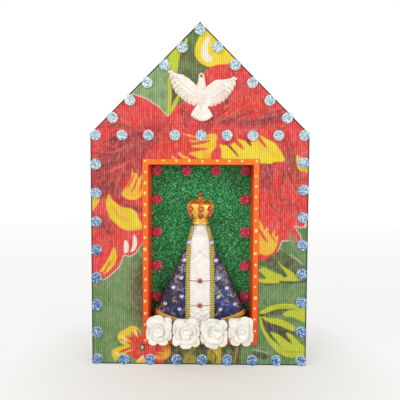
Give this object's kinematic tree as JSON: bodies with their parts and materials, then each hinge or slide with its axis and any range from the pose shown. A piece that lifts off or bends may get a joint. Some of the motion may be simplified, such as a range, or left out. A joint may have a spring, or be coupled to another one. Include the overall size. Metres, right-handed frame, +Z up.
{
  "type": "wooden chapel shrine",
  "caption": "House-shaped shrine in printed cotton, with a framed glitter niche holding a crowned figure behind white roses and a dove in the gable, for a wall or a shelf.",
  "frame": {"origin": "middle of the case's underside", "axes": "+Z up along the height, +X to the right seen from the front, the front faces -Y"},
  "size_m": [0.2, 0.0484, 0.315],
  "materials": {
    "black_painted_board": "thin board, matt black paint",
    "bare_back_board": "bare fibreboard",
    "orange_niche_board": "board, satin orange paint with raised dots",
    "green_glitter_foam": "glitter foam sheet",
    "printed_cotton": "plain-weave cotton, large flower print",
    "blue_glitter_foam": "glitter foam disc",
    "red_glitter_foam": "glitter foam disc",
    "dove_resin": "cast white, pearly",
    "white_rose_clay": "modelled white clay, satin",
    "figure_resin": "cast off-white, matt",
    "mantle_brocade": "brocade with metal thread",
    "gold_braid": "woven metallic braid",
    "hem_ribbon": "ribbed metallic ribbon",
    "crown_gold": "stamped gilt metal",
    "red_stone": "domed orange-red paste stone",
    "clear_crystal": "cut crystal with foil back",
    "hanger_brass": "plated steel, satin"
  },
  "bodies": {
    "shrine": {"front_panel": "black_painted_board", "left_side_board": "black_painted_board", "right_side_board": "black_painted_board", "base_board": "black_painted_board", "left_roof_board": "black_painted_board", "right_roof_board": "black_painted_board", "back_panel": "bare_back_board", "niche_left_board": "orange_niche_board", "niche_right_board": "orange_niche_board", "niche_head_board": "orange_niche_board", "niche_sill_board": "orange_niche_board", "glitter_backing": "green_glitter_foam", "printed_cover": "printed_cotton", "red_glitter_disc_01": "red_glitter_foam", "red_glitter_disc_02": "red_glitter_foam", "red_glitter_disc_03": "red_glitter_foam", "red_glitter_disc_04": "red_glitter_foam", "red_glitter_disc_05": "red_glitter_foam", "red_glitter_disc_06": "red_glitter_foam", "red_glitter_disc_07": "red_glitter_foam", "red_glitter_disc_08": "red_glitter_foam", "red_glitter_disc_09": "red_glitter_foam", "red_glitter_disc_10": "red_glitter_foam", "red_glitter_disc_11": "red_glitter_foam", "red_glitter_disc_12": "red_glitter_foam", "dove": "dove_resin", "rose_1": "white_rose_clay", "rose_2": "white_rose_clay", "rose_3": "white_rose_clay", "rose_4": "white_rose_clay", "figure_body": "figure_resin", "figure_mantle": "mantle_brocade", "braid_left": "gold_braid", "braid_right": "gold_braid", "hem_band_left": "hem_ribbon", "hem_band_right": "hem_ribbon", "crown": "crown_gold", "gown_gem_upper": "red_stone", "gown_gem_lower": "red_stone", "mantle_crystal_01": "clear_crystal", "mantle_crystal_02": "clear_crystal", "mantle_crystal_03": "clear_crystal", "mantle_crystal_04": "clear_crystal", "mantle_crystal_05": "clear_crystal", "mantle_crystal_06": "clear_crystal", "mantle_crystal_07": "clear_crystal", "mantle_crystal_08": "clear_crystal", "mantle_crystal_09": "clear_crystal", "mantle_crystal_10": "clear_crystal", "mantle_crystal_11": "clear_crystal", "mantle_crystal_12": "clear_crystal", "mantle_crystal_13": "clear_crystal", "mantle_crystal_14": "clear_crystal", "hanger_plate": "hanger_brass", "hanger_screw": "hanger_brass"},
    "ring": {"hanger_ring": "hanger_brass"}
  },
  "joints": [
    {"name": "ring_swing", "type": "hinge", "parent": "shrine", "child": "ring", "pos_m": [0, 0.0172, 0.262], "axis": [1, 0, 0], "range_deg": [0, 180]}
  ]
}
